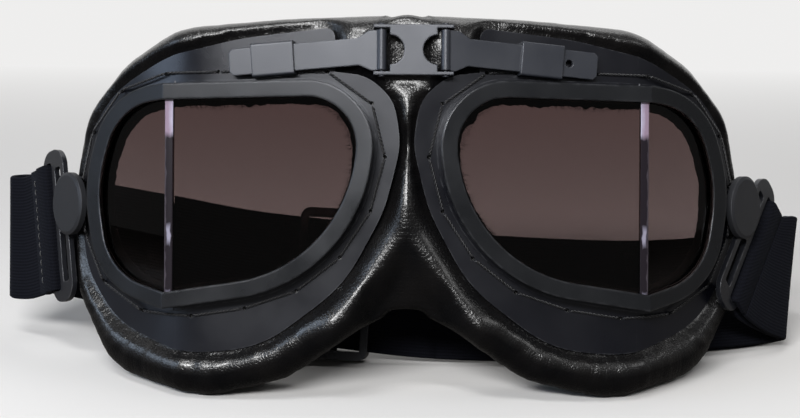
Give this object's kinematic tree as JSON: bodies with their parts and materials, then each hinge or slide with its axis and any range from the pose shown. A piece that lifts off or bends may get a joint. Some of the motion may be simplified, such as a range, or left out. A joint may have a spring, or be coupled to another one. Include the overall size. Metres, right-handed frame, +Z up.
{
  "type": "aviator flying goggles",
  "caption": "Split-lens flying goggles with padded leather mask, kinked lens frames, sliding nose bridge, pivoting strap loops and elastic strap with slider.",
  "frame": {"origin": "middle of the whole part's foot on the table it stands on, strap included", "axes": "X to the right across the mask seen from its front, Y back from the lenses to the strap, Z up"},
  "size_m": [0.2428, 0.0852, 0.1044],
  "materials": {
    "satin_black": "satin",
    "smoke_glass": "polished",
    "black_rubber": "matte",
    "black_leather": "glossy",
    "black_felt": "matte",
    "black_elastic": "matte"
  },
  "bodies": {
    "bridge": {"bridge_link": "satin_black", "bridge_pin_right": "satin_black", "bridge_pin_left": "satin_black", "nose_leather": "black_leather", "strap_band": "black_elastic", "strap_return": "black_elastic"},
    "right_bar": {"slide_bar_right": "satin_black"},
    "right_cup": {"lens_frame_right": "satin_black", "front_lens_right": "smoke_glass", "side_lens_right": "smoke_glass", "lens_gasket_right": "black_rubber", "face_plate_right": "satin_black", "leather_pad_right": "black_leather", "felt_lining_right": "black_felt", "bar_keeper_right": "satin_black", "button_post_right": "satin_black", "button_washer_right": "satin_black", "button_cap_right": "satin_black"},
    "right_loop": {"strap_loop_right": "satin_black", "strap_wrap_right": "black_elastic"},
    "left_bar": {"slide_bar_left": "satin_black"},
    "left_cup": {"lens_frame_left": "satin_black", "front_lens_left": "smoke_glass", "side_lens_left": "smoke_glass", "lens_gasket_left": "black_rubber", "face_plate_left": "satin_black", "leather_pad_left": "black_leather", "felt_lining_left": "black_felt", "bar_keeper_left": "satin_black", "button_post_left": "satin_black", "button_washer_left": "satin_black", "button_cap_left": "satin_black"},
    "left_loop": {"strap_loop_left": "satin_black", "strap_wrap_left": "black_elastic"},
    "slider": {"strap_slider": "satin_black", "strap_hem": "black_elastic"}
  },
  "joints": [
    {"name": "right_bar_hinge", "type": "hinge", "parent": "bridge", "child": "right_bar", "pos_m": [0.01051, -0.02909, 0.096], "axis": [0, 0.2079, 0.9781], "range_deg": [-8, 4], "deforming": ["nose_leather", "strap_band", "strap_return"]},
    {"name": "right_cup_slide", "type": "slide", "parent": "right_bar", "child": "right_cup", "axis": [0.9801, 0.159, -0.1186], "range_m": [-0.0008, 0.005], "deforming": ["nose_leather", "strap_band", "strap_return"]},
    {"name": "right_loop_turn", "type": "hinge", "parent": "right_cup", "child": "right_loop", "pos_m": [0.09554, 0.0014, 0.04699], "axis": [0.7771, -0.6156, 0.1308], "range_deg": [-5, 55], "deforming": ["strap_band", "strap_return"]},
    {"name": "left_bar_hinge", "type": "hinge", "parent": "bridge", "child": "left_bar", "pos_m": [-0.00669, -0.02909, 0.096], "axis": [0, -0.2079, -0.9781], "range_deg": [-8, 4], "deforming": ["nose_leather", "strap_band", "strap_return"]},
    {"name": "left_cup_slide", "type": "slide", "parent": "left_bar", "child": "left_cup", "axis": [-0.9844, 0.1412, -0.1053], "range_m": [-0.0008, 0.004], "deforming": ["nose_leather", "strap_band", "strap_return"]},
    {"name": "left_loop_turn", "type": "hinge", "parent": "left_cup", "child": "left_loop", "pos_m": [-0.09513, 0.0014, 0.04699], "axis": [0.7771, 0.6156, -0.1308], "range_deg": [-34, 26], "deforming": ["strap_band", "strap_return"]},
    {"name": "slider_slide", "type": "slide", "parent": "bridge", "child": "slider", "axis": [0.9949, -0.0971, -0.0261], "range_m": [-0.01, 0.006], "deforming": ["strap_band", "strap_return"]}
  ]
}
